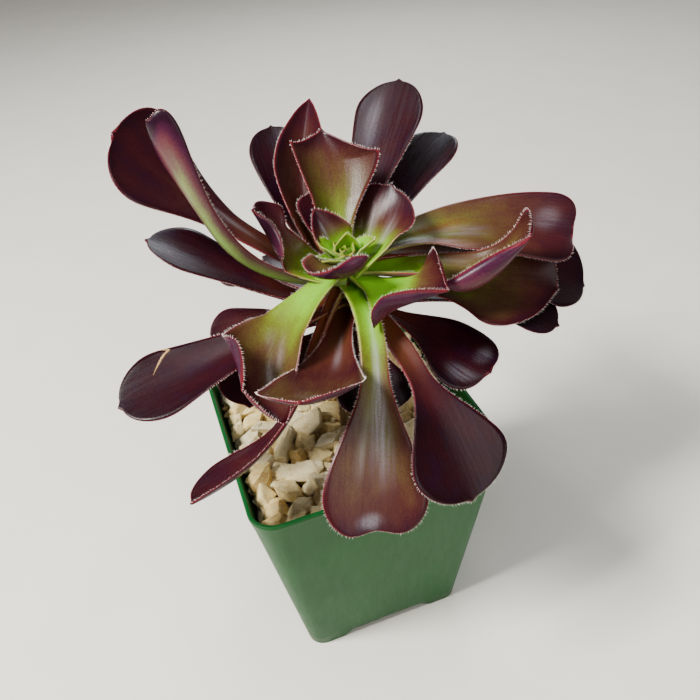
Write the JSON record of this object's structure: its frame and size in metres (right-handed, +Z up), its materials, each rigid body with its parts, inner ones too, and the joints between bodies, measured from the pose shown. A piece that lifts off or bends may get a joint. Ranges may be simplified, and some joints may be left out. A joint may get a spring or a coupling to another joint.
{
  "type": "potted succulent plant",
  "caption": "Dark aeonium rosette of spoon-shaped leaves on a short stem, in a tapered square nursery pot with soil and a top dressing of stones.",
  "frame": {"origin": "middle of the whole plan, leaves included, on the surface that the pot stands on", "axes": "+Z up; the pot's sides lie along X and Y; -Y is the side seen from the front"},
  "size_m": [0.1924, 0.1432, 0.2338],
  "materials": {
    "pot": "semi-matte moulded polypropylene",
    "soil": "rough and dark",
    "gravel": "dry broken stone",
    "stem": "matte bark with leaf scars",
    "leaf_dark": "waxy dark purple",
    "leaf_olive": "waxy olive brown",
    "leaf_green": "waxy bright green"
  },
  "bodies": {
    "root": {"gravel": "gravel", "leaf_back_1": "leaf_dark", "leaf_back_2": "leaf_dark", "leaf_back_3": "leaf_dark", "leaf_back_4": "leaf_dark", "leaf_back_5": "leaf_dark", "leaf_bud_1": "leaf_green", "leaf_bud_2": "leaf_green", "leaf_bud_3": "leaf_green", "leaf_bud_4": "leaf_green", "leaf_bud_5": "leaf_green", "leaf_bud_6": "leaf_green", "leaf_front_1": "leaf_dark", "leaf_front_2": "leaf_dark", "leaf_front_3": "leaf_dark", "leaf_front_4": "leaf_dark", "leaf_front_5": "leaf_dark", "leaf_front_6": "leaf_dark", "leaf_front_7": "leaf_dark", "leaf_front_8": "leaf_dark", "leaf_front_9": "leaf_dark", "leaf_inner_1": "leaf_olive", "leaf_inner_2": "leaf_olive", "leaf_inner_3": "leaf_olive", "leaf_inner_4": "leaf_olive", "leaf_left_1": "leaf_dark", "leaf_left_2": "leaf_dark", "leaf_left_3": "leaf_dark", "leaf_left_4": "leaf_dark", "leaf_left_5": "leaf_dark", "leaf_right_1": "leaf_dark", "leaf_right_2": "leaf_dark", "leaf_right_3": "leaf_dark", "leaf_right_4": "leaf_dark", "leaf_right_5": "leaf_dark", "leaf_right_6": "leaf_dark", "pot": "pot", "soil": "soil", "stem": "stem"}
  },
  "joints": []
}
